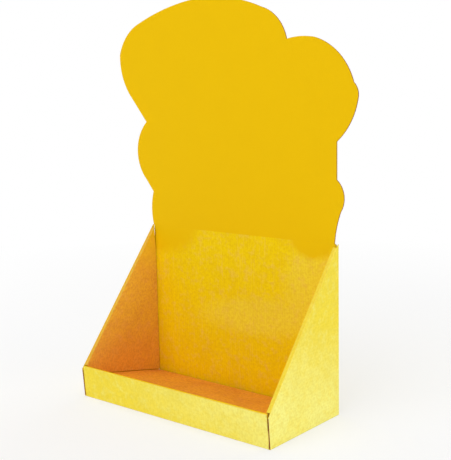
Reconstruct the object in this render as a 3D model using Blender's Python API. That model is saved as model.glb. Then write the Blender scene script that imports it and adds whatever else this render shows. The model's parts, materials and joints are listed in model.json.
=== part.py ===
"""Counter display folded from corrugated board.

A tray with rolled double-wall wings, a rolled front lip and a sloping shelf stands in front of a
back panel that rises into a lobed header card. It is a die-cut blank: a tree of panels, each folded
about its crease on the panel before it.

Each panel has its own frame, with its origin on its crease. x runs along the crease, y across the
panel away from the crease, and z from the printed outer face at 0 to the inner face at BOARD.
The base's frame is the object's: x to the right, y to the back, z up, all in metres.
"""
import math

import bmesh
import bpy
from mathutils import Matrix, Vector

# Board
BOARD = 0.0015              # thickness of the corrugated board
GAP = 0.0003                # clearance between faces that meet
FOLD_RADIUS = 0.0010        # outside radius of a folded crease
FOLD_FACETS = 3             # flats that round each half of a crease
MERGE = 1e-6                # points nearer than this are one point

# Tray
WIDTH = 0.280               # outside of one wing to outside of the other
DEPTH = 0.1265              # front crease to back crease, along the base
LIP_HEIGHT = 0.0381         # front panel, bottom crease to lip
LIP_LEAN = math.radians(4.5)    # front panel, out past upright
LIP_RETURN = 0.0105         # lip down to the shelf's crease, on the tray side
SHELF_BACK_GAP = 0.0030     # shelf's low corner to the back panel, so that the shelf swings past it
SHELF_SIDE_GAP = 0.0006     # shelf to each wing

# Wings
WING_FRONT = 0.0389         # height of the sloping edge's line over the front crease
WING_OVER = 0.002           # height of that line over the header's crease, at the back crease
WING_TIP_RADIUS = 0.0006    # rear top corner
WING_LIP_GAP = 0.0006       # rolled edge to the front lip
WING_BACK_GAP = 0.0005      # wing's inner panel to the back panel
WING_SHELF_GAP = 0.0005     # wing's inner panel to the line of the shelf's top
WEDGE_GAP = 0.0024          # the same gap to the back panel at the top of the wing
WEDGE_HEIGHT = 0.028        # height over which that gap widens

# Corner flaps, held between the two walls of a wing
FLAP_FOOT = 0.004           # start of a flap above the base's crease
FLAP_RISE = math.radians(47)    # slope of a flap's lower edge, so that an opening wing passes it
FLAP_TOP_SHARE = 0.5        # flap's top to the wing's edge above it: an unrolling wing turns clear of this
BACK_FLAP_DEPTH = 0.035
FRONT_FLAP_DEPTH = 0.013

# Back and header
BACK_HEIGHT = 0.193         # base crease to header crease
HEADER_FOOT_LEFT = 0.0008   # header inside the back panel's edge, at the crease
HEADER_FOOT_RIGHT = 0.0028
ARC_STEP = 0.004            # longest flat on the header's round edges
ARC_FLATS = 4               # fewest flats on a round edge or corner

# Header lobes from the crease up, each a reach past the back panel's edge, a rise above the crease
# and the bulge of the edge that leads there from the point before. A bulge of 0 is a straight edge.
HEADER_RIGHT = [
    (0.0053, 0.0360, -0.0014),
    (0.0003, 0.0705, 0.0066),
    (0.0004, 0.1113, 0.0),
    (0.0271, 0.1590, 0.0050),
    (0.0215, 0.1737, 0.0018),
    (-0.0281, 0.2225, 0.0089),
    (-0.0642, 0.2221, 0.0018),
    (-0.0990, 0.2590, 0.0070),
]
HEADER_LEFT = [
    (-0.0019, 0.0428, 0.0031),
    (0.0092, 0.0570, 0.0),
    (0.0066, 0.1301, 0.0160),
    (0.0309, 0.1598, 0.0),
    (0.0500, 0.2145, 0.0058),
    (0.0144, 0.2516, 0.0062),
    (-0.0685, 0.2735, 0.0028),
]
HEADER_TOP_BULGE = 0.0072   # top edge between the last points of the two sides

# Widths that follow from the board and its clearances
HALF_WIDTH = WIDTH / 2
HALF_DEPTH = DEPTH / 2
POCKET = BOARD + 2 * GAP                    # between the walls of a wing, for a flap
WING_WALL = 2 * BOARD + POCKET              # across a wing's rolled edge
LIP_WALL = 2 * BOARD + GAP                  # across the front lip
PANEL_HALF = HALF_WIDTH - BOARD - GAP       # front and back panels, between the wings
SHELF_HALF = HALF_WIDTH - WING_WALL - SHELF_SIDE_GAP
BACK_FACE = HALF_DEPTH - BOARD              # tray side of the back panel
WING_REAR = BACK_HEIGHT + WING_OVER         # height of the sloping edge's line over the back crease

# Sloping edge of a wing, in the plane of y and z: it passes through (-HALF_DEPTH, WING_FRONT)
SLOPE = math.atan2(WING_REAR - WING_FRONT, DEPTH)

RIGHT_ANGLE = math.radians(90)
FRONT_FOLD = RIGHT_ANGLE - LIP_LEAN


def lip_point(up, back):
    """Point (y, z) of the front lip, up the front panel's face and square to it towards the back."""
    sin_lean = math.sin(LIP_LEAN)
    cos_lean = math.cos(LIP_LEAN)
    return Vector((-HALF_DEPTH - up * sin_lean + back * cos_lean, up * cos_lean + back * sin_lean))


SHELF_CREASE = lip_point(LIP_HEIGHT - LIP_RETURN, LIP_WALL)
SHELF_SEAT = Vector((BACK_FACE - SHELF_BACK_GAP, BOARD + GAP))      # shelf's low corner, on the base
SHELF_SPAN = SHELF_SEAT - SHELF_CREASE
SHELF_FALL = math.atan2(-SHELF_SPAN.y, SHELF_SPAN.x) - math.asin(BOARD / SHELF_SPAN.length)
SHELF_LENGTH = math.sqrt(SHELF_SPAN.length_squared - BOARD ** 2)
SHELF_FOLD = SHELF_FALL + LIP_LEAN - RIGHT_ANGLE


def wing_height(y):
    """Height of a wing's sloping edge at y."""
    return WING_FRONT + (y + HALF_DEPTH) * math.tan(SLOPE)


def shelf_height(y):
    """Height of the shelf's top at y."""
    return SHELF_CREASE.y - (y - SHELF_CREASE.x) * math.tan(SHELF_FALL)


def slope_frame(point):
    """A point (y, z) as its distance up the sloping edge and its depth square to that edge."""
    y = point[0] + HALF_DEPTH
    z = point[1] - WING_FRONT
    along = y * math.cos(SLOPE) + z * math.sin(SLOPE)
    below = y * math.sin(SLOPE) - z * math.cos(SLOPE)
    return Vector((along, below))


EDGE_START = slope_frame(lip_point(LIP_HEIGHT, LIP_WALL)).x + WING_LIP_GAP
EDGE_END_Y = BACK_FACE - WEDGE_GAP
EDGE_END = slope_frame((EDGE_END_Y, wing_height(EDGE_END_Y))).x


def arc(start, end, bulge):
    """Points after start along the arc to end that stands bulge out to the right of the way there."""
    if bulge == 0:
        return [end]
    chord = end - start
    half = chord.length / 2
    radius = (half ** 2 + bulge ** 2) / (2 * abs(bulge))
    turn = 2 * math.asin(min(1.0, half / radius))
    right = Vector((chord.y, -chord.x)).normalized() * math.copysign(1, bulge)
    centre = (start + end) / 2 - right * (radius - abs(bulge))
    count = max(ARC_FLATS, math.ceil(radius * turn / ARC_STEP))
    along = chord.normalized()
    points = []
    for i in range(1, count + 1):
        angle = turn * (i / count - 0.5)
        points.append(centre + radius * (right * math.cos(angle) + along * math.sin(angle)))
    return points


def round_corner(before, corner, after, radius):
    """Points of a corner rounded between its two edges."""
    to_before = (before - corner).normalized()
    to_after = (after - corner).normalized()
    half = to_before.angle(to_after) / 2
    tangent = radius / math.tan(half)
    start = corner + to_before * tangent
    end = corner + to_after * tangent
    bulge = radius * (1 - math.sin(half))
    side = math.copysign(1, to_before.x * to_after.y - to_before.y * to_after.x)
    return [start] + arc(start, end, bulge * side)


def cut(bm, point, normal):
    """Takes off what lies beyond a plane and closes the solid again."""
    geometry = bm.verts[:] + bm.edges[:] + bm.faces[:]
    result = bmesh.ops.bisect_plane(
        bm, geom=geometry, dist=MERGE / 10, plane_co=point, plane_no=normal, clear_outer=True)
    rim = [item for item in result["geom_cut"] if isinstance(item, bmesh.types.BMEdge)]
    bmesh.ops.contextual_create(bm, geom=rim)


def cut_crease(bm, point, outward, fold):
    """Mitres an edge that lies on a crease, and rounds the outside of the fold."""
    out = Vector((outward[0], outward[1], 0)).normalized()
    up = Vector((0, 0, 1))
    on_crease = Vector((point[0], point[1], 0))
    half = fold / 2
    cut(bm, on_crease - out * (GAP / 2 / math.cos(half)), out * math.cos(half) + up * math.sin(half))
    centre = on_crease - out * (FOLD_RADIUS * math.tan(half)) + up * FOLD_RADIUS
    for i in range(1, FOLD_FACETS + 1):
        angle = half * i / FOLD_FACETS
        normal = out * math.sin(angle) - up * math.cos(angle)
        cut(bm, centre + normal * FOLD_RADIUS, normal)


# Printed liner: yellow ink, linear red, green and blue
INK_ROUGHNESS = 0.62
OUTER_YELLOW = (0.90, 0.72, 0.10)
TRAY_YELLOW = (0.81, 0.50, 0.010)
LIP_YELLOW = (0.88, 0.68, 0.07)
SHELF_YELLOW = (0.78, 0.42, 0.012)
HEADER_YELLOW = (0.82, 0.50, 0.001)
FLAP_YELLOW = (0.76, 0.46, 0.02)


def board_material(name, colour):
    """Printed board: matt ink on a paper liner."""
    material = bpy.data.materials.new(name)
    material.use_nodes = True
    shader = material.node_tree.nodes["Principled BSDF"]
    shader.inputs["Base Color"].default_value = (*colour, 1)
    shader.inputs["Roughness"].default_value = INK_ROUGHNESS
    shader.inputs["Metallic"].default_value = 0
    return material


def add_panel(name, colour, outline, creases, parent=None, at=(0, 0, 0), away=RIGHT_ANGLE, fold=0, face=0):
    """A plate of board in its own frame, folded about its crease on the parent.

    at is a point of the crease in the parent's frame, and away the direction there in which the flat
    panel runs from the crease. creases lists each (point, outward direction, fold) on the outline.
    face is the height of the printed face in the panel's frame.
    """
    bm = bmesh.new()
    plate = bm.faces.new([bm.verts.new((x, y, face)) for x, y in outline])
    extruded = bmesh.ops.extrude_face_region(bm, geom=[plate])
    top = [item for item in extruded["geom"] if isinstance(item, bmesh.types.BMVert)]
    bmesh.ops.translate(bm, verts=top, vec=(0, 0, BOARD))
    for point, outward, angle in creases:
        cut_crease(bm, point, outward, angle)
    bmesh.ops.remove_doubles(bm, verts=bm.verts[:], dist=MERGE)
    bmesh.ops.recalc_face_normals(bm, faces=bm.faces[:])
    mesh = bpy.data.meshes.new(name)
    bm.to_mesh(mesh)
    bm.free()
    panel = bpy.data.objects.new(name, mesh)
    bpy.context.scene.collection.objects.link(panel)
    mesh.materials.append(board_material(name, colour))
    panel.parent = parent
    turn = Matrix.Rotation(away - RIGHT_ANGLE, 4, "Z") @ Matrix.Rotation(fold, 4, "X")
    panel.matrix_local = Matrix.Translation(at) @ turn
    return panel


def strip_outline(half_length, height):
    """Rectangle from a crease, equal to both sides of its middle."""
    return [(-half_length, 0), (half_length, 0), (half_length, height), (-half_length, height)]


def add_base():
    outline = [(-HALF_WIDTH, -HALF_DEPTH), (HALF_WIDTH, -HALF_DEPTH),
               (HALF_WIDTH, HALF_DEPTH), (-HALF_WIDTH, HALF_DEPTH)]
    creases = [
        ((0, -HALF_DEPTH), (0, -1), FRONT_FOLD),
        ((0, HALF_DEPTH), (0, 1), RIGHT_ANGLE),
        ((HALF_WIDTH, 0), (1, 0), RIGHT_ANGLE),
        ((-HALF_WIDTH, 0), (-1, 0), RIGHT_ANGLE),
    ]
    return add_panel("base_panel", OUTER_YELLOW, outline, creases)


def side_creases():
    """Creases of the two corner flaps, on the sides of the front or back panel."""
    return [((side * PANEL_HALF, 0), (side, 0), RIGHT_ANGLE) for side in (1, -1)]


def add_front(base):
    """Front panel rolled over into the lip, with the shelf on the lip's tray side."""
    bottom = ((0, 0), (0, -1), FRONT_FOLD)
    top = ((0, LIP_HEIGHT), (0, 1), RIGHT_ANGLE)
    front = add_panel(
        "front_outer_panel", LIP_YELLOW, strip_outline(PANEL_HALF, LIP_HEIGHT),
        [bottom, top] + side_creases(),
        base, (0, -HALF_DEPTH, 0), -RIGHT_ANGLE, FRONT_FOLD)
    near = ((0, 0), (0, -1), RIGHT_ANGLE)
    far = ((0, LIP_WALL), (0, 1), RIGHT_ANGLE)
    lip = add_panel(
        "front_lip_strip", LIP_YELLOW, strip_outline(PANEL_HALF, LIP_WALL), [near, far],
        front, (0, LIP_HEIGHT, 0), RIGHT_ANGLE, RIGHT_ANGLE)
    inner = add_panel(
        "front_inner_panel", TRAY_YELLOW, strip_outline(PANEL_HALF, LIP_RETURN - GAP / 2), [near],
        lip, (0, LIP_WALL, 0), RIGHT_ANGLE, RIGHT_ANGLE)
    shelf = [(x, y + GAP / 2) for x, y in strip_outline(SHELF_HALF, SHELF_LENGTH - GAP / 2)]
    add_panel(
        "shelf_panel", SHELF_YELLOW, shelf, [],
        inner, (0, LIP_RETURN, 0), RIGHT_ANGLE, SHELF_FOLD)
    return front


def header_side(points, side):
    """Edge of the header on one side, from the crease up, in the header's frame."""
    inset = HEADER_FOOT_RIGHT if side > 0 else HEADER_FOOT_LEFT
    edge = [Vector((side * (PANEL_HALF - inset), GAP / 2))]
    for reach, rise, bulge in points:
        edge += arc(edge[-1], Vector((side * (PANEL_HALF + reach), rise)), bulge * side)
    return edge


def add_back(base):
    """Back panel, with the header creased to its top."""
    bottom = ((0, 0), (0, -1), RIGHT_ANGLE)
    back = add_panel(
        "back_panel", TRAY_YELLOW, strip_outline(PANEL_HALF, BACK_HEIGHT - GAP / 2),
        [bottom] + side_creases(),
        base, (0, HALF_DEPTH, 0), RIGHT_ANGLE, RIGHT_ANGLE)
    right = header_side(HEADER_RIGHT, 1)
    left = header_side(HEADER_LEFT, -1)
    top = arc(right[-1], left[-1], HEADER_TOP_BULGE)
    outline = right + top[:-1] + left[::-1]
    axis_depth = BOARD + GAP / 2
    add_panel(
        "header_panel", HEADER_YELLOW, outline, [],
        back, (0, BACK_HEIGHT, axis_depth), RIGHT_ANGLE, 0, -axis_depth)
    return back


def add_wing(base, side, label):
    """Wing rolled over its sloping edge: outer wall, edge strip and inner wall."""

    def in_wing(point):
        return Vector((-side * point[0], point[1]))

    front_top = WING_FRONT / (1 + math.tan(SLOPE) * math.tan(LIP_LEAN))
    front_bottom = Vector((-HALF_DEPTH, 0))
    front_corner = Vector((-HALF_DEPTH - front_top * math.tan(LIP_LEAN), front_top))
    rear_top = Vector((HALF_DEPTH, WING_REAR))
    rear_bottom = Vector((HALF_DEPTH, 0))
    tip = round_corner(front_corner, rear_top, rear_bottom, WING_TIP_RADIUS)
    outline = [in_wing(point) for point in [front_bottom, front_corner] + tip + [rear_bottom]]
    slope_start = in_wing((-HALF_DEPTH, WING_FRONT))
    slope_out = (side * math.sin(SLOPE), math.cos(SLOPE))
    outer = add_panel(
        label + "_wing_outer_panel", OUTER_YELLOW, outline,
        [((0, 0), (0, -1), RIGHT_ANGLE), (slope_start, slope_out, RIGHT_ANGLE)],
        base, (side * HALF_WIDTH, 0, 0), math.atan2(0, side), RIGHT_ANGLE)

    near = ((0, 0), (0, -1), RIGHT_ANGLE)
    far = ((0, WING_WALL), (0, 1), RIGHT_ANGLE)
    strip = [in_wing(point) for point in (
        (EDGE_START, 0), (EDGE_END, 0), (EDGE_END, WING_WALL), (EDGE_START, WING_WALL))]
    edge = add_panel(
        label + "_wing_edge_strip", OUTER_YELLOW, strip, [near, far],
        outer, (*slope_start, 0), math.atan2(slope_out[1], slope_out[0]), RIGHT_ANGLE)

    rear_y = BACK_FACE - WING_BACK_GAP
    start_y = -HALF_DEPTH + EDGE_START * math.cos(SLOPE)
    above_shelf = wing_height(start_y) - shelf_height(start_y) - WING_SHELF_GAP
    fall = above_shelf / (math.cos(SLOPE) - math.sin(SLOPE) * math.tan(SHELF_FALL))
    wall = [
        Vector((EDGE_START, 0)),
        Vector((EDGE_END, 0)),
        slope_frame((rear_y, wing_height(EDGE_END_Y) - WEDGE_HEIGHT)),
        slope_frame((rear_y, shelf_height(rear_y) + WING_SHELF_GAP)),
        Vector((EDGE_START, fall)),
    ]
    add_panel(
        label + "_wing_inner_panel", TRAY_YELLOW, [in_wing(point) for point in wall], [near],
        edge, (0, WING_WALL, 0), RIGHT_ANGLE, RIGHT_ANGLE)


def add_flap(name, parent, parent_side, depth, root_y, inward):
    """Corner flap on a side of the front or back panel, inside the wing.

    parent_side is the side in the parent's frame, root_y where the crease stands, and inward the way
    in which the flap runs along y.
    """
    top_root = FLAP_TOP_SHARE * wing_height(root_y)
    top_end = FLAP_TOP_SHARE * wing_height(root_y + inward * depth)
    low_end = FLAP_FOOT + depth * math.tan(FLAP_RISE)
    outline = [(FLAP_FOOT, 0), (low_end, depth), (top_end, depth), (top_root, 0)]
    add_panel(
        name, FLAP_YELLOW, [(-parent_side * up, out) for up, out in outline],
        [((0, 0), (0, -1), RIGHT_ANGLE)],
        parent, (parent_side * PANEL_HALF, 0, 0), math.atan2(0, parent_side), RIGHT_ANGLE)


def build():
    for old in list(bpy.data.objects):
        bpy.data.objects.remove(old, do_unlink=True)
    base = add_base()
    front = add_front(base)
    back = add_back(base)
    for side, label in ((1, "right"), (-1, "left")):
        add_wing(base, side, label)
        add_flap(label + "_back_flap", back, side, BACK_FLAP_DEPTH, HALF_DEPTH, -1)
        add_flap(label + "_front_flap", front, -side, FRONT_FLAP_DEPTH, -HALF_DEPTH, 1)


build()
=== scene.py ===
# %% [markdown]
# # A counter display in printed corrugated board
#
# The real object is a die-cut sheet of thin corrugated board, printed yellow on both faces and folded
# into a tray with rolled double walls and a tall lobed header card. This lesson dresses the packed
# model: every panel becomes three plies of paper, every crease gets its rounded liner, and the print,
# the raw edges and the light follow the photograph.

# %% Load the frame
import json
import math

import bpy
from mathutils import Matrix, Vector

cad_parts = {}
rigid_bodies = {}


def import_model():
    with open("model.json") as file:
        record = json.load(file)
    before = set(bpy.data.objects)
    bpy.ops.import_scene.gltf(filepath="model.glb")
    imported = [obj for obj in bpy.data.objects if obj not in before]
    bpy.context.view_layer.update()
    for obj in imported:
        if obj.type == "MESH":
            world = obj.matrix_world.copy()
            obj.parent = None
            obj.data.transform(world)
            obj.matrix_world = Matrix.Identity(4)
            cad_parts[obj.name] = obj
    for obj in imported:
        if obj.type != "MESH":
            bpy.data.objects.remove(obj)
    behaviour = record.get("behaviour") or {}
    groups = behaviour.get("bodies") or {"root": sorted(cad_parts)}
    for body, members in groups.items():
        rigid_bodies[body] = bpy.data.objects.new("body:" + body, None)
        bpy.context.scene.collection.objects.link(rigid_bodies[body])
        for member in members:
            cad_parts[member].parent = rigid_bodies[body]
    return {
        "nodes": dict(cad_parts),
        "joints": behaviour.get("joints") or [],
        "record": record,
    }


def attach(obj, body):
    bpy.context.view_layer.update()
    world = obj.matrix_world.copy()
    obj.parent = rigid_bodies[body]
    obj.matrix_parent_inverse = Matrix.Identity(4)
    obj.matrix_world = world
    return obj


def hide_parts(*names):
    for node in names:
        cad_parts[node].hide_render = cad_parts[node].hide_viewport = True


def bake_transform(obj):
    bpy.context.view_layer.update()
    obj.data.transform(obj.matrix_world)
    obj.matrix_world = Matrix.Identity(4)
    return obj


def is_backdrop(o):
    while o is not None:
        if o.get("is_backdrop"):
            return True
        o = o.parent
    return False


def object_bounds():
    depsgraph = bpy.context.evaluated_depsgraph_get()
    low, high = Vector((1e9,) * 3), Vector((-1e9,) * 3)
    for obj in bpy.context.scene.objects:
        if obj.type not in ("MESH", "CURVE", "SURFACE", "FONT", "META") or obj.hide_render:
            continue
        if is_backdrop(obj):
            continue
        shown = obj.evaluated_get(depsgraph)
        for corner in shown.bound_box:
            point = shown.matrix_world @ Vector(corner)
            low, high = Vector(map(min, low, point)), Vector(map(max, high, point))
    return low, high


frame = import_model()
cad_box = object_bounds()

scene = bpy.context.scene
body_of = {node: body for body, nodes in frame["record"]["behaviour"]["bodies"].items() for node in nodes}
node_of = {body: node for node, body in body_of.items()}

# %% [markdown]
# The sheet is printed and fluted while it is flat, so its patterns belong to the flat sheet and not to
# the folded display. Each crease is a joint of the frame, and its largest angle lays the panel flat.
# Chaining those turns from the base outwards gives, for each panel, the matrix that takes it from the
# tray to the sheet. In the sheet x runs across the flutes, y along them and z from the outside face up.
# Only the header already stands in line with its neighbour, so its crease adds no turn.

# %% Unfold the sheet
STRAIGHT_CREASE = "header_fold"


def turn_about(point, axis, angle):
    """A turn by an angle about an axis through a point."""
    return Matrix.Translation(point) @ Matrix.Rotation(angle, 4, axis) @ Matrix.Translation(-point)


to_sheet = {"base": Matrix.Identity(4)}
for joint in frame["joints"]:
    angle = 0 if joint["name"] == STRAIGHT_CREASE else math.radians(joint["range_deg"][1])
    turn = turn_about(Vector(joint["pos_m"]), Vector(joint["axis"]), angle)
    to_sheet[joint["child"]] = to_sheet[joint["parent"]] @ turn
print("panels laid flat", len(to_sheet))

# %% [markdown]
# A node tree is easier to read as a list of what it holds. One small function adds a node, sets its
# properties and its plain values, and links the rest. Colours are written as the eye sees them, in hex,
# and one function turns them into the linear light that Blender works in.

# %% Two helpers for materials
def hex_colour(text):
    """sRGB hex to linear red, green, blue and alpha."""
    channels = [int(text[i:i + 2], 16) / 255 for i in (1, 3, 5)]
    return [c / 12.92 if c <= 0.04045 else ((c + 0.055) / 1.055) ** 2.4 for c in channels] + [1]


def add_node(tree, kind, values=None, **settings):
    """A node of that kind. Each value is a plain one or the output socket to link."""
    made = tree.nodes.new(kind)
    for key, value in settings.items():
        setattr(made, key, value)
    for socket, value in (values or {}).items():
        if isinstance(value, bpy.types.NodeSocket):
            tree.links.new(value, made.inputs[socket])
        else:
            made.inputs[socket].default_value = value
    return made


print("sRGB grey #808080 is", round(hex_colour("#808080")[0], 3), "in linear light")

# %% [markdown]
# The faces of the board are paper liners with yellow ink. Paper drinks the ink unevenly, so the print is
# never one colour: it is thin in clouds some millimetres wide, denser where the rollers left more, specked
# where fibres drink more, and thin again in streaks along the flutes. The flutes themselves show through
# as faint even stripes, because the paper sinks between their tips. All these patterns read the sheet's
# own coordinates, in metres, from a UV map, so they run on across the creases.

# %% Patterns of a print
SHEET_MAP = "sheet"
FLUTE_PITCH = 0.0033        # E flute
CLOUD = 0.009               # width of the mottle
BLOTCH = 0.035              # width of the places where the rollers left more ink
SPECK = 0.0028              # ink specks, drawn about twice their size so that they show
STREAK_WIDTH = 0.004
STREAK_LENGTH = 0.045
WAVE_TURNS = 20             # a wave texture of scale 1 turns this many radians per unit
NOISE_TILT = (0.6, 0.4, 0.3)    # a noise is cut aslant, because a cut along its lattice shows rows
NOISE_ROUGHNESS = 0.6       # how much each finer layer of a noise keeps of the one before
CLOUD_RANGE = (0.3, 0.7)    # nearly all values of the clouds lie between these
PATCH_RANGE = (0.6, 1.4)    # how far the clouds weaken and strengthen a patch


def print_patterns(tree, place):
    """Noises of about 0.5 on average, and the flutes as a wave of 0 to 1."""
    patterns = {}
    for name, width, length, detail in (
            ("clouds", CLOUD, CLOUD, 4), ("blotches", BLOTCH, BLOTCH, 2),
            ("specks", SPECK, SPECK, 2), ("streaks", STREAK_WIDTH, STREAK_LENGTH, 2)):
        cut = add_node(tree, "ShaderNodeMapping", {
            "Vector": place, "Rotation": NOISE_TILT, "Scale": (1 / width, 1 / length, 1)})
        patterns[name] = add_node(tree, "ShaderNodeTexNoise", {
            "Vector": cut.outputs["Vector"], "Scale": 1, "Detail": detail,
            "Roughness": NOISE_ROUGHNESS}).outputs["Fac"]
    patterns["flutes"] = add_node(tree, "ShaderNodeTexWave", {
        "Vector": place, "Scale": 2 * math.pi / (WAVE_TURNS * FLUTE_PITCH)}).outputs["Fac"]
    return patterns


def oval_patch(tree, place, clouds, patch):
    """Soft ovals in the sheet, broken by the mottle: 0 at the rim, 1 from the share full of the way in."""
    joined = 0
    for centre, radii, tilt in patch["ovals"]:
        local = add_node(tree, "ShaderNodeMapping", {
            "Vector": place, "Location": (*centre, 0), "Rotation": (0, 0, math.radians(tilt)),
            "Scale": (*radii, 1)}, vector_type="TEXTURE").outputs["Vector"]
        oval = add_node(tree, "ShaderNodeTexGradient", {"Vector": local}, gradient_type="SPHERICAL")
        joined = add_node(tree, "ShaderNodeMath", {
            0: joined, 1: oval.outputs["Fac"]}, operation="MAXIMUM").outputs["Value"]
    broken = add_node(tree, "ShaderNodeMapRange", {
        "Value": clouds, "From Min": CLOUD_RANGE[0], "From Max": CLOUD_RANGE[1],
        "To Min": PATCH_RANGE[0], "To Max": PATCH_RANGE[1]})
    uneven = add_node(tree, "ShaderNodeMath", {
        0: joined, 1: broken.outputs["Result"]}, operation="MULTIPLY")
    return add_node(tree, "ShaderNodeMapRange", {
        "Value": uneven.outputs["Value"], "From Max": patch["full"]}).outputs["Result"]


print("flutes in 100 mm", round(0.1 / FLUTE_PITCH))

# %% [markdown]
# A print is one ink with those patterns laid over it, each in a thinner or a denser ink. To the eye it is
# matt: the paper scatters the light, and almost no gloss is left to wash the colour out. A print may have
# one patch under its patterns, painted light on some prints and painted shade on others, and one smooth
# coat over them. An attribute says where a fold is paler: partly cracked ink, with the paper showing
# through, and partly a painted highlight along the bend.

# %% Printed liners
CRACK_AND_HIGHLIGHT_ATTRIBUTE = "crack_and_highlight"
# Paper showing through cracked ink on a fold, which also serves as a painted highlight along the bend.
CRACK_AND_HIGHLIGHT_COLOUR = "#F6E9A0"
LAYERS = {                  # from which value on a pattern shows, and where it is full
    "clouds": (0.50, 0.74),
    "blotches": (0.45, 0.75),
    "specks": (0.38, 0.66),
    "streaks": (0.56, 0.80),
    "flutes": (0, 1),
}
THIN_LAYERS = ("clouds", "streaks")     # these show the thin ink, the others the dense one
INK_SHEEN = 0.04            # ink that has sunk into paper keeps almost no gloss
INK_ROUGHNESS = (0.5, 0.74)     # highest on the specks, where fibres stand up
LINER_RELIEF = 0.00005      # paper sunk between flute tips
LINER_BUMP = 0.6
FLUTE_RELIEF = 0.8          # the flutes' part in the relief, beside 1 for the specks
COLOUR_A = 6                # sockets of a colour mix
COLOUR_B = 7
COLOUR_OUT = 2


def printed_liner(name, ink, thin_ink, dense_ink, shares, patch=None, coat=None):
    """Matt ink on a paper liner. shares says how much of each pattern shows over the ink and its patch."""
    material = bpy.data.materials.new(name)
    material.use_nodes = True
    tree = material.node_tree
    shader = tree.nodes["Principled BSDF"]
    shader.inputs["Specular IOR Level"].default_value = INK_SHEEN
    place = add_node(tree, "ShaderNodeUVMap", uv_map=SHEET_MAP).outputs["UV"]
    patterns = print_patterns(tree, place)
    layers = []
    # The patch is painted light on some prints and painted shade on others, laid under the patterns.
    if patch:
        layers.append((oval_patch(tree, place, patterns["clouds"], patch), patch["ink"]))
    for pattern, (first, full) in LAYERS.items():
        mask = add_node(tree, "ShaderNodeMapRange", {
            "Value": patterns[pattern], "From Min": first, "From Max": full, "To Max": shares[pattern]})
        layers.append((mask.outputs["Result"], thin_ink if pattern in THIN_LAYERS else dense_ink))
    if coat:
        layers.append((oval_patch(tree, place, patterns["clouds"], coat), coat["ink"]))
    # Paler folds: cracked ink with the paper showing, and a painted highlight on the bend.
    crack_and_highlight = add_node(tree, "ShaderNodeAttribute", attribute_name=CRACK_AND_HIGHLIGHT_ATTRIBUTE)
    layers.append((crack_and_highlight.outputs["Fac"], CRACK_AND_HIGHLIGHT_COLOUR))
    colour = hex_colour(ink)
    for mask, other in layers:
        layer = add_node(tree, "ShaderNodeMix", {
            "Factor": mask, COLOUR_A: colour, COLOUR_B: hex_colour(other)}, data_type="RGBA")
        colour = layer.outputs[COLOUR_OUT]
    tree.links.new(colour, shader.inputs["Base Color"])
    rough = add_node(tree, "ShaderNodeMapRange", {
        "Value": patterns["specks"], "To Min": INK_ROUGHNESS[0], "To Max": INK_ROUGHNESS[1]})
    tree.links.new(rough.outputs["Result"], shader.inputs["Roughness"])
    relief = add_node(tree, "ShaderNodeMath", {
        0: patterns["flutes"], 1: FLUTE_RELIEF, 2: patterns["specks"]}, operation="MULTIPLY_ADD")
    bump = add_node(tree, "ShaderNodeBump", {
        "Height": relief.outputs["Value"], "Distance": LINER_RELIEF, "Strength": LINER_BUMP})
    tree.links.new(bump.outputs["Normal"], shader.inputs["Normal"])
    return material


print("layers over an ink", list(LAYERS))

# %% [markdown]
# The prints differ from panel to panel. The outside is lemon, with a painted highlight that pales it
# towards the front right corner, and a little deeper on the rolled edges, as painted shade. The tray side
# of the back panel is golden, with painted light that pales it in a band and at the right. The tray side
# of the wings and the shelf carry the yellow in painted shade: amber on the wings, with pinkish specks,
# more painted shade that makes them redder by the shelf, and golden at the tips, and a deeper amber on
# the shelf. The header has the golden ink in a smooth even coat, which runs over its crease onto the back
# panel in two lobes.

# %% The prints
# An oval is a centre, two radii and a tilt in degrees, in the flat sheet.
# Painted highlight on the outside print: paler towards the front right corner.
PAINTED_HIGHLIGHT_CORNER = {
    "ovals": [((0.165, -0.045), (0.110, 0.115), 0), ((0.145, 0.025), (0.105, 0.120), 0),
              ((0.215, -0.098), (0.310, 0.060), 0)],
    "full": 1, "ink": "#FDF994"}
# Painted light on the back panel's tray side: a paler band across it and a paler patch at its right.
PAINTED_LIGHT_BAND = {
    "ovals": [((0.035, 0.160), (0.112, 0.028), 5), ((0.105, 0.193), (0.047, 0.072), 0)],
    "full": 0.4, "ink": "#F5DA34"}
HEADER_INK = "#EBBE05"
COAT_LOBES = {
    "ovals": [((-0.128, 0.258), (0.075, 0.040), 0), ((0.107, 0.258), (0.034, 0.024), 0)],
    "full": 0.3, "ink": HEADER_INK}
# Painted shade on the wings' tray side: redder low down by the shelf.
PAINTED_SHADE_BY_SHELF = {
    "ovals": [((side * 0.238, -0.090), (0.090, 0.055), side * -12) for side in (-1, 1)],
    "full": 0.6, "ink": "#FEBA50"}
GOLDEN_TIPS = {
    "ovals": [((side * 0.338, 0.060), (0.065, 0.065), 0) for side in (-1, 1)],
    "full": 0.9, "ink": "#F2CE10"}
OUTSIDE_SHARES = {"clouds": 0.8, "blotches": 0.15, "specks": 0.3, "streaks": 0.2, "flutes": 0.06}
TRAY_SHARES = {"clouds": 0.7, "blotches": 0.15, "specks": 0.32, "streaks": 0.4, "flutes": 0.1}
SHADE_SHARES = {"clouds": 0.8, "blotches": 0.3, "specks": 0.5, "streaks": 0.2, "flutes": 0.1}
EVEN_SHARES = {"clouds": 0.2, "blotches": 0.1, "specks": 0.1, "streaks": 0, "flutes": 0.03}

# Thin ink: pale, chalky yellow, with a painted highlight that makes it paler still towards the front right
# corner.
lemon_print = printed_liner(
    "lemon_flexo_print_on_liner", "#F8E147", "#FAEE7C", "#DEC73B", OUTSIDE_SHARES, PAINTED_HIGHLIGHT_CORNER)
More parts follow.
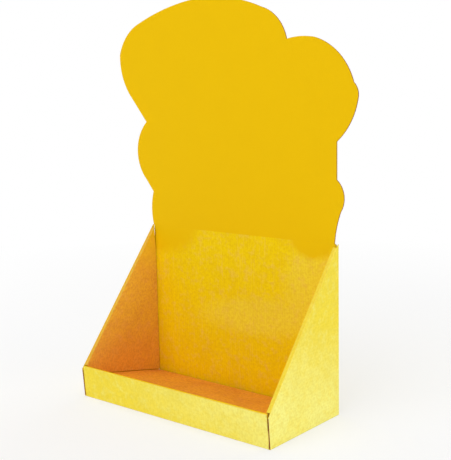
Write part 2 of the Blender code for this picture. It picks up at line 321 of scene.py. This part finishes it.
# The same ink on a rolled edge, deeper as painted shade and without the outside's painted highlight: a
# deeper yellow line beside the pale face.
edge_print = printed_liner(
    "yellow_print_on_rolled_edge_in_painted_shade", "#F2D844", "#F4E060", "#DEB832", OUTSIDE_SHARES)
# The left slope, which looks away from the light, in painted shade: the yellow dulled to orange yellow.
slope_print = printed_liner(
    "yellow_print_on_left_slope_in_painted_shade", "#E8B836", "#ECC054", "#CC8E34", TRAY_SHARES)
# A fuller coat: warm yellow, with thin pinkish streaks along the flutes, and painted light that pales it in
# a band and at the right.
golden_print = printed_liner(
    "golden_flexo_print_on_liner", "#F4D406", "#F2CA50", "#DAA414", TRAY_SHARES, PAINTED_LIGHT_BAND, COAT_LOBES)
# The wings' tray side: the outside's yellow in painted shade, orange, specked and matt, with more painted
# shade that makes it redder by the shelf, and golden at the tips.
tray_shade_print = printed_liner(
    "yellow_print_on_liner_in_painted_tray_shade", "#FECB46", "#FEC460", "#DE9040", SHADE_SHARES, PAINTED_SHADE_BY_SHELF, GOLDEN_TIPS)
# The shelf, where goods stand: the outside's yellow in the deepest painted shade, orange and blotchy.
shelf_print = printed_liner(
    "yellow_print_on_liner_in_painted_shelf_shade", "#F3AC33", "#F2A650", "#C87234", SHADE_SHARES)
# A second, even coat: smooth golden yellow with hardly any mottle.
header_print = printed_liner(
    "even_golden_print_on_liner", HEADER_INK, "#EABC0A", "#E4B404", EVEN_SHARES)
print("prints", [material.name for material in bpy.data.materials if "print_on" in material.name])

# %% [markdown]
# Where the board is cut, and between its faces, the paper is bare kraft: brown, fibrous and quite rough.
# The fluting is recycled paper, a little darker and greyer than the liners. Both have fibres some
# millimetres long, drawn as a noise that is stretched along the flutes.

# %% Bare kraft
FIBRE_LENGTH = 0.004
FIBRE_WIDTH = 0.0007        # drawn several times as wide as a fibre, so that it shows
FIBRE_RELIEF = 0.00003
FIBRE_BUMP = 0.5
PAPER_SHEEN = 0.1


def bare_kraft(name, pale, dark, roughness):
    """Brown paper without ink, with fibres along the flutes."""
    material = bpy.data.materials.new(name)
    material.use_nodes = True
    tree = material.node_tree
    shader = tree.nodes["Principled BSDF"]
    shader.inputs["Roughness"].default_value = roughness
    shader.inputs["Specular IOR Level"].default_value = PAPER_SHEEN
    place = add_node(tree, "ShaderNodeUVMap", uv_map=SHEET_MAP).outputs["UV"]
    grain = add_node(tree, "ShaderNodeMapping", {
        "Vector": place, "Rotation": NOISE_TILT,
        "Scale": (1 / FIBRE_WIDTH, 1 / FIBRE_LENGTH, 1)}).outputs["Vector"]
    fibres = add_node(tree, "ShaderNodeTexNoise", {
        "Vector": grain, "Scale": 1, "Detail": 3, "Roughness": NOISE_ROUGHNESS}).outputs["Fac"]
    layer = add_node(tree, "ShaderNodeMix", {
        "Factor": fibres, COLOUR_A: hex_colour(pale), COLOUR_B: hex_colour(dark)}, data_type="RGBA")
    tree.links.new(layer.outputs[COLOUR_OUT], shader.inputs["Base Color"])
    bump = add_node(tree, "ShaderNodeBump", {
        "Height": fibres, "Distance": FIBRE_RELIEF, "Strength": FIBRE_BUMP})
    tree.links.new(bump.outputs["Normal"], shader.inputs["Normal"])
    return material


# Unbleached kraft: warm brown and matt.
kraft_liner = bare_kraft("bare_kraft_liner", "#D8924C", "#B06C30", 0.8)
# Recycled paper: darker, greyer and rougher still.
kraft_fluting = bare_kraft("recycled_kraft_fluting", "#BC824C", "#8E5A30", 0.88)
print("papers", kraft_liner.name, kraft_fluting.name)

# %% [markdown]
# The sheet is printed on both faces, and rolling a wall turns its face round: on the inner panels of the
# wings and the lip, and on the shelf, the sheet's outer face is the one that looks into the tray. Two
# tables say which print the outer and the inner face of each panel have. A slot says which panels change
# together when someone gives the display another print.

# %% Which print goes where
outer_print = {node: lemon_print for node in body_of}
inner_print = {node: golden_print for node in body_of}
slot_of = {node: "printed_outside" for node in body_of}
# The tray side and the rolled edges get darker copies of the lemon print, as painted shade: the shaded
# prints on the wings' inner panels and the shelf, golden on the lip and its inner panel, a dull orange
# yellow on the left slope and a deeper lemon on the right one.
for side in ("right", "left"):
    outer_print[side + "_wing_inner_panel"] = tray_shade_print
    slot_of[side + "_wing_inner_panel"] = "printed_tray"
outer_print["shelf_panel"] = shelf_print
outer_print["front_inner_panel"] = golden_print
outer_print["left_wing_edge_strip"] = slope_print
outer_print["right_wing_edge_strip"] = edge_print
outer_print["front_lip_strip"] = golden_print
inner_print["header_panel"] = header_print
for node in ("shelf_panel", "front_inner_panel", "back_panel"):
    slot_of[node] = "printed_tray"
slot_of["header_panel"] = "printed_header"
print("slots", sorted(set(slot_of.values())))

# %% [markdown]
# A ply of paper starts as a copy of its panel or as a primitive, and modifiers finish it. The packed
# panel is a shell of loose triangles, so a copy is first merged into whole faces. These helpers do what
# a hand does in the window: select one piece, apply a modifier, and copy a panel. The last one writes
# where each corner of a piece lies in the flat sheet, which is what the prints read.

# %% Helpers for plies of paper
MERGE = 1e-6
FLAT_ANGLE = math.radians(0.5)


def select_only(piece):
    bpy.ops.object.select_all(action="DESELECT")
    piece.select_set(True)
    bpy.context.view_layer.objects.active = piece


def apply_modifier(piece, kind, **settings):
    select_only(piece)
    modifier = piece.modifiers.new(kind.lower(), kind)
    for key, value in settings.items():
        setattr(modifier, key, value)
    bpy.ops.object.modifier_apply(modifier=modifier.name)


def board_copy(node, name):
    """A panel's solid as a new object, its loose triangles merged into whole faces."""
    piece = bpy.data.objects.new(name, frame["nodes"][node].data.copy())
    scene.collection.objects.link(piece)
    select_only(piece)
    bpy.ops.mesh.customdata_custom_splitnormals_clear()
    bpy.ops.object.mode_set(mode="EDIT")
    bpy.ops.mesh.select_mode(type="FACE")
    bpy.ops.mesh.select_all(action="SELECT")
    bpy.ops.mesh.remove_doubles(threshold=MERGE)
    bpy.ops.mesh.dissolve_limited(angle_limit=FLAT_ANGLE)
    bpy.ops.mesh.select_all(action="DESELECT")
    bpy.ops.object.mode_set(mode="OBJECT")
    for layer in list(piece.data.uv_layers):
        piece.data.uv_layers.remove(layer)
    piece.data.materials.clear()
    return piece


def lay_out(piece, place):
    """Gives a piece its place in the sheet as a UV map. place takes a point of the tray to the sheet."""
    layer = piece.data.uv_layers.get(SHEET_MAP) or piece.data.uv_layers.new(name=SHEET_MAP)
    for loop in piece.data.loops:
        layer.data[loop.index].uv = place(piece.data.vertices[loop.vertex_index].co).xy


print("corners within", MERGE * 1000, "mm are merged")

# %% [markdown]
# Each panel could stay one solid plate, but a cut edge of corrugated board is two thin sheets with a
# wave between them. A copy of the panel is merged, its cut edges are deleted, and a Solidify modifier
# turns what is left, the two faces and their folded borders, into paper of real thickness. The faces
# are told apart in the flat sheet: the outside face looks down there, and the tray side looks up.

# %% Liners of every panel
CUT_TILT = 0.05             # a face whose normal leans less than this out of the sheet is a cut edge
LINER = 0.00022
OUTER_FACE, INNER_FACE, BARE_OFFSET = 0, 1, 2   # material slots, and the step from a print to bare kraft


def board_liners(node):
    """The two liners of a panel, printed on the faces and bare on the cut edges and inside."""
    body = body_of[node]
    piece = board_copy(node, node + "_liners")
    for material in (outer_print[node], inner_print[node], kraft_liner, kraft_liner):
        piece.data.materials.append(material)
    turn = to_sheet[body].to_3x3()
    for face in piece.data.polygons:
        tilt = (turn @ face.normal).z
        face.material_index = OUTER_FACE if tilt < 0 else INNER_FACE
        face.select = abs(tilt) < CUT_TILT
    bpy.ops.object.mode_set(mode="EDIT")
    bpy.ops.mesh.delete(type="FACE")
    bpy.ops.object.mode_set(mode="OBJECT")
    apply_modifier(piece, "SOLIDIFY", thickness=LINER, offset=-1, use_even_offset=True,
                   material_offset=BARE_OFFSET, material_offset_rim=BARE_OFFSET)
    lay_out(piece, lambda point: to_sheet[body] @ point)
    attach(piece, body)
    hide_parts(node)
    return piece


liners = {node: board_liners(node) for node in body_of}
print("liners", len(liners), "faces", sum(len(piece.data.polygons) for piece in liners.values()))

# %% [markdown]
# Between the liners runs the fluting, a wave of paper glued at its tips. It shows only where the board
# is cut, and it could be a bump there, but then the edge would be a flat wall with stripes. Here a long
# grid is bent into the wave while the sheet is flat, folded back with its panel, given its thickness,
# and cut to the panel's outline with a Boolean.

# %% Fluting of every panel
FLUTING = 0.00018
FLUTE_STEPS = 8             # flats in one wave
FLUTE_CLEARANCE = 0.00001   # from a tip to its liner
OVERRUN = 0.001             # wave past the panel's outline, before it is cut
board = max(corner[2] for corner in frame["nodes"]["base_panel"].bound_box)
wave_height = (board - 2 * LINER - FLUTING) / 2 - FLUTE_CLEARANCE


def sheet_box(node):
    """Lowest and highest corner of a panel in the flat sheet."""
    points = [to_sheet[body_of[node]] @ vertex.co for vertex in frame["nodes"][node].data.vertices]
    low = Vector([min(point[i] for point in points) for i in range(3)])
    high = Vector([max(point[i] for point in points) for i in range(3)])
    return low, high


def board_fluting(node):
    """The wave of paper between a panel's liners, cut to the panel's outline."""
    body = body_of[node]
    low, high = sheet_box(node)
    first = math.floor(low.x / FLUTE_PITCH)
    waves = math.ceil(high.x / FLUTE_PITCH) - first
    bpy.ops.object.select_all(action="DESELECT")
    bpy.ops.mesh.primitive_grid_add(x_subdivisions=waves * FLUTE_STEPS, y_subdivisions=1, size=1)
    piece = bpy.context.active_object
    piece.name = node + "_fluting"
    back = to_sheet[body].inverted()
    for vertex in piece.data.vertices:      # a grid of size 1 runs from -0.5 to 0.5
        across = (first + waves * (vertex.co.x + 0.5)) * FLUTE_PITCH
        along = low.y - OVERRUN + (high.y - low.y + 2 * OVERRUN) * (vertex.co.y + 0.5)
        up = board / 2 + wave_height * math.sin(2 * math.pi * across / FLUTE_PITCH)
        vertex.co = back @ Vector((across, along, up))
    apply_modifier(piece, "SOLIDIFY", thickness=FLUTING, offset=0, use_even_offset=True)
    outline = board_copy(node, "outline")
    apply_modifier(piece, "BOOLEAN", operation="INTERSECT", solver="EXACT", object=outline)
    bpy.data.objects.remove(outline, do_unlink=True)
    piece.data.materials.clear()
    piece.data.materials.append(kraft_fluting)
    lay_out(piece, lambda point: to_sheet[body] @ point)
    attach(piece, body)
    return piece


fluting = {node: board_fluting(node) for node in body_of}
for piece in fluting.values():
    print(piece.name, len(piece.data.polygons), [round(v, 4) for v in piece.dimensions])

# %% [markdown]
# At a crease a liner runs from one panel to the next in one piece. It is a narrow strip here, and its ends
# follow the two borders it joins. First come the places: where a crease lies, which way each panel runs
# from it, and where its border ends.

# %% Places along the creases
NEAR_ENDS = 0.0025          # ends of two borders that are nearer than this belong together
FLAT_FACE = 0.999           # share of a normal that is square to the sheet, on a panel's flat face
OUTSIDE, INSIDE = -1, 1     # which way a face looks in the flat sheet
STRIP_REACH = 0.0008        # strip on each panel's flat face
STRIP_LIFT = 0.00001        # strip over that face at the bend, and under it at its long edges


def border(node, line, axis, reach, look):
    """First and last place along the axis of a panel's flat face, near a line."""
    turn = to_sheet[body_of[node]].to_3x3()
    mesh = frame["nodes"][node].data
    found = []
    for face in mesh.polygons:
        if (turn @ face.normal).z * look < FLAT_FACE:
            continue
        for index in face.vertices:
            offset = mesh.vertices[index].co - line
            along = offset.dot(axis)
            if (offset - axis * along).length < reach:
                found.append(along)
    return min(found), max(found)


def strip_ends(joint, line, axis, reach, look):
    """Where a strip starts and stops along the axis, on the parent and on the child."""
    ends = [border(node_of[joint[key]], line, axis, reach, look) for key in ("parent", "child")]
    first = max(low for low, high in ends)
    last = min(high for low, high in ends)
    return [(low if abs(low - first) < NEAR_ENDS else first,
             high if abs(high - last) < NEAR_ENDS else last) for low, high in ends]


def crease_sides(joint):
    """For the parent and the child, the way in from the crease and the outside face's normal."""
    flat = to_sheet[joint["parent"]]
    low, high = sheet_box(node_of[joint["child"]])
    across = (flat.to_3x3() @ Vector(joint["axis"])).cross(Vector((0, 0, 1))).normalized()
    if ((low + high) / 2 - flat @ Vector(joint["pos_m"])).dot(across) < 0:
        across = -across
    sides = []
    for body, way in ((joint["parent"], -across), (joint["child"], across)):
        back = to_sheet[body].to_3x3().inverted()
        sides.append((back @ way, back @ Vector((0, 0, OUTSIDE))))
    return sides


# %% [markdown]
# Two helpers make every strip. The first bends a grid to rows of places across the crease. The second
# gives the strip its paper's thickness, its place in the sheet, which follows one panel before the bend and
# the other after it, and its paleness on the bend, partly cracked ink and partly a painted highlight.

# %% Strips across a crease
SMOOTH_ANGLE = math.radians(30)
BARE_BACK = 1               # step from a strip's print to the bare kraft of its back


def crease_strip(name, axis, rows):
    """A strip through rows. A row is a place, and the strip's two ends along the axis there."""
    bpy.ops.object.select_all(action="DESELECT")
    steps = len(rows) - 1
    bpy.ops.mesh.primitive_grid_add(x_subdivisions=1, y_subdivisions=steps, size=1)
    piece = bpy.context.active_object
    piece.name = name
    for vertex in piece.data.vertices:
        place, ends = rows[round(steps * (vertex.co.y + 0.5))]
        vertex.co = place + axis * ends[round(vertex.co.x + 0.5)]
    return piece


def finish_strip(piece, joint, facing, start, end, print_paper, peak_crack_and_highlight):
    """Paper for a strip whose bend lies between the places start and end. Its paleness, cracked ink and a
    painted highlight, is strongest halfway.
    """
    if piece.data.polygons[0].normal.dot(facing) < 0:
        piece.data.flip_normals()
    apply_modifier(piece, "SOLIDIFY", thickness=LINER, offset=-1, use_even_offset=True,
                   material_offset=BARE_BACK)
    piece.data.materials.clear()
    piece.data.materials.append(print_paper)
    piece.data.materials.append(kraft_liner)
    bpy.ops.object.shade_smooth_by_angle(angle=SMOOTH_ANGLE)
    chord = end - start

    def share(place):
        return min(1, max(0, (place - start).dot(chord) / chord.length_squared))

    lay_out(piece, lambda place: (to_sheet[joint["parent"]] @ place).lerp(
        to_sheet[joint["child"]] @ place, share(place)))
    # Paler on the bend: cracked ink, and a painted highlight.
    crack_and_highlight = piece.data.attributes.new(CRACK_AND_HIGHLIGHT_ATTRIBUTE, "FLOAT", "POINT")
    for vertex in piece.data.vertices:
        crack_and_highlight.data[vertex.index].value = peak_crack_and_highlight * (1 - (2 * share(vertex.co) - 1) ** 2)
    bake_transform(piece)
    return piece


print("a strip lies", STRIP_REACH * 1000, "mm over each panel")

# %% [markdown]
# Where the board is folded, the outer liner goes round the fold. Two flat strips meet at the sharp line
# of the crease, and a bevel rounds that line. The shelf's crease is folded the other way, so its liner
# lies tight in the corner. Every fold is paler on its bend, partly cracked ink and partly a painted
# highlight, and the folds along the lip and the left slope are palest, with the strongest painted
# highlight.

# %% Liners round the folds
FOLD_RADIUS = 0.0010
VALLEY_CREASE = "shelf_fold"
VALLEY_RADIUS = 0.0004
FOLD_STEPS = 8
BORDER_REACH = 0.0002       # border's distance past the round
# The lip and the left slope have the palest folds, with the strongest painted highlight.
STRONG_CRACK_AND_HIGHLIGHT = {"lip_edge_fold": 0.2, "left_wing_edge_fold": 0.2}
FAINT_CRACK_AND_HIGHLIGHT = 0.1            # of every other fold
# The inner folds take darker prints, as painted shade: golden on the right, dull orange yellow on the left.
fold_print = {"right_wing_inner_fold": golden_print, "left_wing_inner_fold": slope_print,
              "left_wing_edge_fold": edge_print, "lip_edge_fold": edge_print}


def fold_liner(joint):
    """The outer liner round a folded crease."""
    name = joint["name"]
    corner = Vector(joint["pos_m"])
    axis = Vector(joint["axis"]).normalized()
    (way_a, out_a), (way_b, out_b) = crease_sides(joint)
    radius = VALLEY_RADIUS if name == VALLEY_CREASE else FOLD_RADIUS
    tangent = radius * math.tan(math.radians(joint["range_deg"][1]) / 2)
    ends = strip_ends(joint, corner, axis, tangent + BORDER_REACH, OUTSIDE)
    middle = tuple((a + b) / 2 for a, b in zip(*ends))
    corner += (out_a + out_b) * (STRIP_LIFT / (1 + out_a.dot(out_b)))
    reach = tangent + STRIP_REACH
    sunk = 2 * STRIP_LIFT
    piece = crease_strip(name + "_liner", axis, [
        (corner + way_a * reach - out_a * sunk, ends[0]), (corner, middle),
        (corner + way_b * reach - out_b * sunk, ends[1])])
    for edge in piece.data.edges:
        points = [piece.data.vertices[index].co for index in edge.vertices]
        edge.select = all((point - corner).cross(axis).length < MERGE for point in points)
    for item in [*piece.data.vertices, *piece.data.polygons]:
        item.select = False
    bpy.ops.object.mode_set(mode="EDIT")
    bpy.ops.mesh.select_mode(type="EDGE")
    bpy.ops.mesh.bevel(offset=tangent, segments=FOLD_STEPS)
    bpy.ops.object.mode_set(mode="OBJECT")
    paper = fold_print.get(name, outer_print[node_of[joint["child"]]])
    return finish_strip(piece, joint, out_a + out_b, corner + way_a * tangent, corner + way_b * tangent,
                        paper, STRONG_CRACK_AND_HIGHLIGHT.get(name, FAINT_CRACK_AND_HIGHLIGHT))


folds = [fold_liner(joint) for joint in frame["joints"] if joint["name"] != STRAIGHT_CREASE]
for piece in folds:
    print(piece.name, len(piece.data.polygons), [round(v, 4) for v in piece.dimensions])

# %% [markdown]
# The header's crease is pressed into the board but not folded in use, so both liners run straight over
# it. On the front it shows as a faint line, and a shallow groove gives that. At the back the liner has
# to stretch round the board when the header comes forward, so it gets a few more rows.

# %% Liners over the header's crease
CREASE_GAP = 0.0003         # between the two panels
GROOVE = 0.00007
BACK_ROWS = 6

header_joint = next(joint for joint in frame["joints"] if joint["name"] == STRAIGHT_CREASE)
header_axis = Vector(header_joint["axis"]).normalized()
(down, rear), (rise, _) = crease_sides(header_joint)
front_line = Vector(header_joint["pos_m"]) + rear * (CREASE_GAP / 2)
rear_line = front_line + rear * board


def header_liner(name, line, facing, shares, look, paper, groove):
    """A strip over the crease. shares places its rows across it, from -1 on the back panel to 1."""
    ends = strip_ends(header_joint, line, header_axis, CREASE_GAP, look)
    rows = []
    for share in shares:
        lift = -STRIP_LIFT if abs(share) == 1 else STRIP_LIFT
        place = line + rise * (share * (CREASE_GAP / 2 + STRIP_REACH)) + facing * lift
        weight = (share + 1) / 2
        span = tuple(a + (b - a) * weight for a, b in zip(*ends))
        rows.append((place - facing * (groove * (1 - abs(share))), span))
    piece = crease_strip(name, header_axis, rows)
    return finish_strip(piece, header_joint, facing, line + down * (CREASE_GAP / 2),
                        line + rise * (CREASE_GAP / 2), paper, 0)


bend = CREASE_GAP / (CREASE_GAP + 2 * STRIP_REACH)
bend_rows = [bend * (2 * i / BACK_ROWS - 1) for i in range(BACK_ROWS + 1)]
header_front = header_liner(
    "header_fold_front_liner", front_line, -rear, (-1, -bend, 0, bend, 1), INSIDE, header_print, GROOVE)
header_back = header_liner(
    "header_fold_back_liner", rear_line, rear, (-1, *bend_rows, 1), OUTSIDE, lemon_print, 0)
for piece in (header_front, header_back):
    print(piece.name, len(piece.data.polygons), [round(v, 4) for v in piece.dimensions])

# %% [markdown]
# The display stands on a wide sheet of white studio paper. Camera rays see the sheet as white, as in a
# cut-out product picture, but near the display it keeps a part of its own shading, so the shadow stays.
# More light would whiten the paper too, but it would bleach the display with it.

# %% Studio floor
FLOOR_SIZE = 60
FLOOR_DROP = 0.0001         # keeps the floor clear of the base's face
SHADOW_REACH = 1.2          # the floor has its own shading within this distance of the display
SHADOW_SHARE = 0.5          # how much of that shading the camera sees

bpy.ops.object.select_all(action="DESELECT")
bpy.ops.mesh.primitive_plane_add(size=FLOOR_SIZE, location=(0, 0, -FLOOR_DROP))
floor = bpy.context.active_object
floor.name = "studio_floor"
# Uncoated white paper: even and quite matt.
paper = bpy.data.materials.new("white_studio_paper")
paper.use_nodes = True
tree = paper.node_tree
shader = tree.nodes["Principled BSDF"]
shader.inputs["Base Color"].default_value = hex_colour("#F4F4F4")
shader.inputs["Roughness"].default_value = 0.9
shader.inputs["Specular IOR Level"].default_value = 0.1


def seen_directly(tree, strength):
    """A value of strength for rays that see the background, also by reflection or through glass."""
    path = add_node(tree, "ShaderNodeLightPath")
    rays = path.outputs["Is Camera Ray"]
    for kind in ("Is Glossy Ray", "Is Transmission Ray"):
        both = add_node(tree, "ShaderNodeMath", {0: rays, 1: path.outputs[kind]}, operation="MAXIMUM")
        rays = both.outputs["Value"]
    seen = add_node(tree, "ShaderNodeMath", {0: rays, 1: strength}, operation="MULTIPLY")
    return seen.outputs["Value"]


place = add_node(tree, "ShaderNodeTexCoord").outputs["Object"]
reach = add_node(tree, "ShaderNodeMapping", {"Vector": place, "Scale": [1 / SHADOW_REACH] * 3})
near = add_node(tree, "ShaderNodeTexGradient", {
    "Vector": reach.outputs["Vector"]}, gradient_type="SPHERICAL")
white = add_node(tree, "ShaderNodeMapRange", {
    "Value": near.outputs["Fac"], "To Min": 1, "To Max": 1 - SHADOW_SHARE})
glow = add_node(tree, "ShaderNodeEmission", {"Color": (1, 1, 1, 1), "Strength": 1})
mixed = add_node(tree, "ShaderNodeMixShader", {
    0: seen_directly(tree, white.outputs["Result"]),
    1: shader.outputs["BSDF"],
    2: glow.outputs["Emission"]})
tree.links.new(mixed.outputs["Shader"], tree.nodes["Material Output"].inputs["Surface"])
floor.data.materials.append(paper)
floor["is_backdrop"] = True
print("floor", floor.name, "shaded within", SHADOW_REACH, "m")

# %% [markdown]
# Behind the floor the world is white to the camera and a weak grey to everything else. That grey is the
# light that a pale room throws back into the shadows.

# %% White backdrop
AMBIENT = 0.35

world = bpy.data.worlds.new("white_studio")
scene.world = world
world.use_nodes = True
tree = world.node_tree
backdrop = tree.nodes["Background"]
backdrop.inputs["Color"].default_value = (1, 1, 1, 1)
strength = add_node(tree, "ShaderNodeMapRange", {
    "Value": seen_directly(tree, 1), "To Min": AMBIENT, "To Max": 1})
tree.links.new(strength.outputs["Result"], backdrop.inputs["Strength"])
print("backdrop", world.name, "ambient", AMBIENT)

# %% [markdown]
# Five soft boxes stand round the display and over it, so that it is lit from every side. The front one
# lights the header and the back panel, and the top one the lip and the slopes. The two at the sides stand
# low: each lights the outside of its wing, and that wing keeps it off the inside of the other, which
# stays in the warm light that the tray throws about.

# %% Soft boxes
LIGHT_AIM = Vector((0, 0, 0.2))


def soft_box(name, turn, rise, distance, size, watts):
    """A square lamp that looks at the middle of the display, turned to the right from the front."""
    lamp = bpy.data.lights.new(name, "AREA")
    lamp.shape = "SQUARE"
    lamp.size = size
    lamp.energy = watts
    box = bpy.data.objects.new(name, lamp)
    turn = math.radians(turn)
    rise = math.radians(rise)
    way = Vector((math.sin(turn) * math.cos(rise), -math.cos(turn) * math.cos(rise), math.sin(rise)))
    box.location = LIGHT_AIM + way * distance
    box.rotation_euler = way.to_track_quat("Z", "Y").to_euler()
    scene.collection.objects.link(box)
    print(name, [round(v, 2) for v in box.location], watts, "W")


soft_box("front_box", turn=4, rise=20, distance=2.4, size=1.8, watts=23)
soft_box("top_box", turn=0, rise=80, distance=1.6, size=1.4, watts=12)
soft_box("right_box", turn=92, rise=0, distance=1.5, size=0.4, watts=6)
soft_box("left_box", turn=-92, rise=0, distance=1.5, size=0.4, watts=6)
soft_box("rear_box", turn=180, rise=20, distance=2.4, size=1.8, watts=20)

# %% [markdown]
# The camera stands where the photograph was taken from: in front and to the right, a little above the
# middle of the display, and rolled slightly. Its lens was found from the corners of the tray.

# %% Camera
CAMERA_TURN = math.radians(40.05)
CAMERA_RISE = math.radians(8.82)
CAMERA_ROLL = 0.021
CAMERA_AIM = Vector((0.03638, -0.00352, 0.20923))
CAMERA_DISTANCE = 1.0038
CAMERA_LENS = 71.536        # mm, for the sensor's width
CAMERA_SENSOR = 36

forward = Vector((-math.sin(CAMERA_TURN) * math.cos(CAMERA_RISE),
                  math.cos(CAMERA_TURN) * math.cos(CAMERA_RISE), -math.sin(CAMERA_RISE)))
level = Vector((math.cos(CAMERA_TURN), math.sin(CAMERA_TURN), 0))
below = forward.cross(level)
right = level * math.cos(CAMERA_ROLL) + below * math.sin(CAMERA_ROLL)
above = level * math.sin(CAMERA_ROLL) - below * math.cos(CAMERA_ROLL)
view = bpy.data.cameras.new("camera")
view.lens = CAMERA_LENS
view.sensor_width = CAMERA_SENSOR
camera = bpy.data.objects.new("camera", view)
camera.matrix_world = Matrix.Translation(CAMERA_AIM - forward * CAMERA_DISTANCE) @ Matrix(
    (right, above, -forward)).transposed().to_4x4()
scene.collection.objects.link(camera)
scene.camera = camera
scene.view_settings.view_transform = "Standard"
print("camera", [round(v, 3) for v in camera.location])

# %% [markdown]
# The display's bounds, as packed and as dressed. Dressing the panels must not make the
# display bigger.

# %% Sizes
boxes = {"cad": cad_box, "visual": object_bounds()}
boxes = {name: [list(corner) for corner in box] for name, box in boxes.items()}
print("boxes", boxes)
